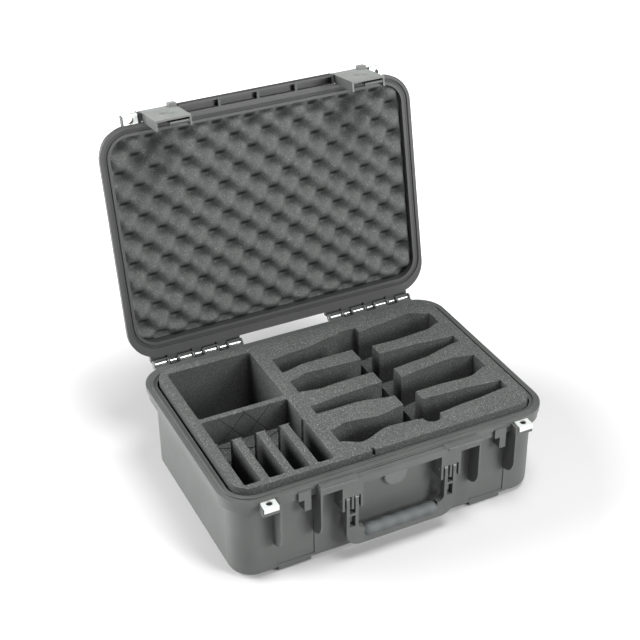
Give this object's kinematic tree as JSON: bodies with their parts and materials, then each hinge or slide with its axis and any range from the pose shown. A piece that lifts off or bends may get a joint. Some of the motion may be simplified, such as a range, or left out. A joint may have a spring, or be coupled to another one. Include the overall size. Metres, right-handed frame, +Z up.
{
  "type": "microphone case",
  "caption": "Open hard plastic case for microphones with two latches, folding handle, rear hinges, cut foam in the base and egg-crate foam in the lid.",
  "frame": {"origin": "centre of the base, on the surface it rests on", "axes": "X right along the hinge, Y to the back, Z up"},
  "size_m": [0.523, 0.5266, 0.5471],
  "materials": {
    "shell_plastic": "lightly textured, semi-matt",
    "latch_plastic": "satin",
    "grip_rubber": "matt",
    "gasket_rubber": "matt",
    "pin_steel": "satin",
    "plate_steel": "satin",
    "foam": "open-cell foam, speckled"
  },
  "bodies": {
    "base": {"base_shell": "shell_plastic", "feet": "gasket_rubber", "hinge_pin_left": "pin_steel", "hinge_pin_right": "pin_steel", "base_padlock_left": "plate_steel", "base_padlock_right": "plate_steel", "handle_pin_left": "pin_steel", "handle_pin_right": "pin_steel", "valve_body": "shell_plastic", "valve_cap": "shell_plastic", "valve_nut": "shell_plastic", "foam_bottom_pad": "foam", "foam_frame": "foam", "foam_flap": "foam", "foam_pack_dividers": "foam", "foam_left_floor": "foam", "foam_mic_floor": "foam", "foam_islands_left": "foam", "foam_islands_right": "foam"},
    "lid": {"lid_shell": "shell_plastic", "gasket": "gasket_rubber", "lid_padlock_left": "plate_steel", "lid_padlock_right": "plate_steel", "latch_pin_left": "pin_steel", "latch_pin_right": "pin_steel", "lid_foam": "foam"},
    "latch_left": {"latch_left": "latch_plastic", "trigger_pin_left": "pin_steel", "trigger_spring_left": "pin_steel"},
    "latch_right": {"latch_right": "latch_plastic", "trigger_pin_right": "pin_steel", "trigger_spring_right": "pin_steel"},
    "trigger_left": {"trigger_left": "shell_plastic"},
    "trigger_right": {"trigger_right": "shell_plastic"},
    "handle": {"handle_frame": "shell_plastic", "handle_grip": "grip_rubber"}
  },
  "joints": [
    {"name": "lid_hinge", "type": "hinge", "parent": "base", "child": "lid", "pos_m": [0, 0.2, 0.1495], "axis": [1, 0, 0], "range_deg": [0, 101.5]},
    {"name": "latch_left_pivot", "type": "hinge", "parent": "lid", "child": "latch_left", "pos_m": [-0.1595, 0.2947, 0.5272], "axis": [-1, 0, 0], "range_deg": [0, 90]},
    {"name": "latch_right_pivot", "type": "hinge", "parent": "lid", "child": "latch_right", "pos_m": [0.1595, 0.2947, 0.5272], "axis": [-1, 0, 0], "range_deg": [0, 90]},
    {"name": "trigger_left_pivot", "type": "hinge", "parent": "latch_left", "child": "trigger_left", "pos_m": [-0.1595, 0.28539, 0.52655], "axis": [1, 0, 0], "range_deg": [0, 8]},
    {"name": "trigger_right_pivot", "type": "hinge", "parent": "latch_right", "child": "trigger_right", "pos_m": [0.1595, 0.28539, 0.52655], "axis": [1, 0, 0], "range_deg": [0, 8]},
    {"name": "handle_pivot", "type": "hinge", "parent": "base", "child": "handle", "pos_m": [0, -0.1885, 0.113], "axis": [-1, 0, 0], "range_deg": [0, 90]}
  ]
}
